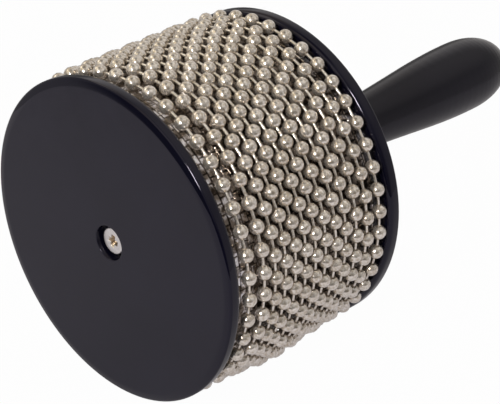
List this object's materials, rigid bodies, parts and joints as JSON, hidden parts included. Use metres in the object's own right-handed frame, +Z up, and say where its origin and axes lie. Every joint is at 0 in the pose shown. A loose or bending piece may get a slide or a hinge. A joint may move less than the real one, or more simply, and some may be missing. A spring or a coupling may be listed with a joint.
{
  "type": "cabasa",
  "caption": "Hand percussion: loops of steel ball chain hang loose round a drum wrapped in textured sheet steel, between two black discs, with a black handle on its axis.",
  "frame": {"origin": "under the middle of the length, on the surface that the disc rims lie on", "axes": "+X along the drum axis from the front disc to the handle, +Z up"},
  "size_m": [0.1904, 0.1094, 0.1094],
  "materials": {
    "front_disc_plastic": "satin charcoal with fine moulded grain",
    "rear_disc_plastic": "polished black",
    "core_wood": "plain turned plywood",
    "sheet_steel": "pressed pattern, slightly dulled",
    "tack_steel": "plain",
    "chain_nickel": "polished nickel plate with a warm tint",
    "bolt_steel": "zinc plated",
    "handle_plastic": "satin black",
    "insert_brass": "turned"
  },
  "bodies": {
    "drum": {"front_disc": "front_disc_plastic", "rear_disc": "rear_disc_plastic", "core_tube": "core_wood", "textured_sheet": "sheet_steel", "seam_tacks": "tack_steel", "through_bolt": "bolt_steel", "bolt_washer": "bolt_steel", "handle": "handle_plastic", "handle_insert": "insert_brass"},
    "loop_01": {"chain_loop_01": "chain_nickel"},
    "loop_02": {"chain_loop_02": "chain_nickel"},
    "loop_03": {"chain_loop_03": "chain_nickel"},
    "loop_04": {"chain_loop_04": "chain_nickel"},
    "loop_05": {"chain_loop_05": "chain_nickel"},
    "loop_06": {"chain_loop_06": "chain_nickel"},
    "loop_07": {"chain_loop_07": "chain_nickel"},
    "loop_08": {"chain_loop_08": "chain_nickel"},
    "loop_09": {"chain_loop_09": "chain_nickel"},
    "loop_10": {"chain_loop_10": "chain_nickel"},
    "loop_11": {"chain_loop_11": "chain_nickel"},
    "loop_12": {"chain_loop_12": "chain_nickel"},
    "loop_13": {"chain_loop_13": "chain_nickel"}
  },
  "joints": [
    {"name": "loop_01_turn", "type": "hinge", "parent": "drum", "child": "loop_01", "pos_m": [-0.08563, 0, 0.05468], "axis": [1, 0, 0], "continuous": true},
    {"name": "loop_02_turn", "type": "hinge", "parent": "drum", "child": "loop_02", "pos_m": [-0.07922, 0, 0.05468], "axis": [1, 0, 0], "continuous": true},
    {"name": "loop_03_turn", "type": "hinge", "parent": "drum", "child": "loop_03", "pos_m": [-0.07448, 0, 0.05468], "axis": [1, 0, 0], "continuous": true},
    {"name": "loop_04_turn", "type": "hinge", "parent": "drum", "child": "loop_04", "pos_m": [-0.07006, 0, 0.05468], "axis": [1, 0, 0], "continuous": true},
    {"name": "loop_05_turn", "type": "hinge", "parent": "drum", "child": "loop_05", "pos_m": [-0.06573, 0, 0.05468], "axis": [1, 0, 0], "continuous": true},
    {"name": "loop_06_turn", "type": "hinge", "parent": "drum", "child": "loop_06", "pos_m": [-0.06126, 0, 0.05468], "axis": [1, 0, 0], "continuous": true},
    {"name": "loop_07_turn", "type": "hinge", "parent": "drum", "child": "loop_07", "pos_m": [-0.05689, 0, 0.05468], "axis": [1, 0, 0], "continuous": true},
    {"name": "loop_08_turn", "type": "hinge", "parent": "drum", "child": "loop_08", "pos_m": [-0.05246, 0, 0.05468], "axis": [1, 0, 0], "continuous": true},
    {"name": "loop_09_turn", "type": "hinge", "parent": "drum", "child": "loop_09", "pos_m": [-0.04786, 0, 0.05468], "axis": [1, 0, 0], "continuous": true},
    {"name": "loop_10_turn", "type": "hinge", "parent": "drum", "child": "loop_10", "pos_m": [-0.04339, 0, 0.05468], "axis": [1, 0, 0], "continuous": true},
    {"name": "loop_11_turn", "type": "hinge", "parent": "drum", "child": "loop_11", "pos_m": [-0.03852, 0, 0.05468], "axis": [1, 0, 0], "continuous": true},
    {"name": "loop_12_turn", "type": "hinge", "parent": "drum", "child": "loop_12", "pos_m": [-0.03364, 0, 0.05468], "axis": [1, 0, 0], "continuous": true},
    {"name": "loop_13_turn", "type": "hinge", "parent": "drum", "child": "loop_13", "pos_m": [-0.02779, 0, 0.05468], "axis": [1, 0, 0], "continuous": true}
  ],
  "couplings": [
    {"joint": "loop_02_turn", "follows": "loop_07_turn", "ratio": 1},
    {"joint": "loop_03_turn", "follows": "loop_07_turn", "ratio": 1},
    {"joint": "loop_04_turn", "follows": "loop_07_turn", "ratio": 1},
    {"joint": "loop_05_turn", "follows": "loop_07_turn", "ratio": 1},
    {"joint": "loop_06_turn", "follows": "loop_07_turn", "ratio": 1},
    {"joint": "loop_08_turn", "follows": "loop_07_turn", "ratio": 1},
    {"joint": "loop_09_turn", "follows": "loop_07_turn", "ratio": 1},
    {"joint": "loop_10_turn", "follows": "loop_07_turn", "ratio": 1},
    {"joint": "loop_11_turn", "follows": "loop_07_turn", "ratio": 1},
    {"joint": "loop_12_turn", "follows": "loop_07_turn", "ratio": 1}
  ]
}
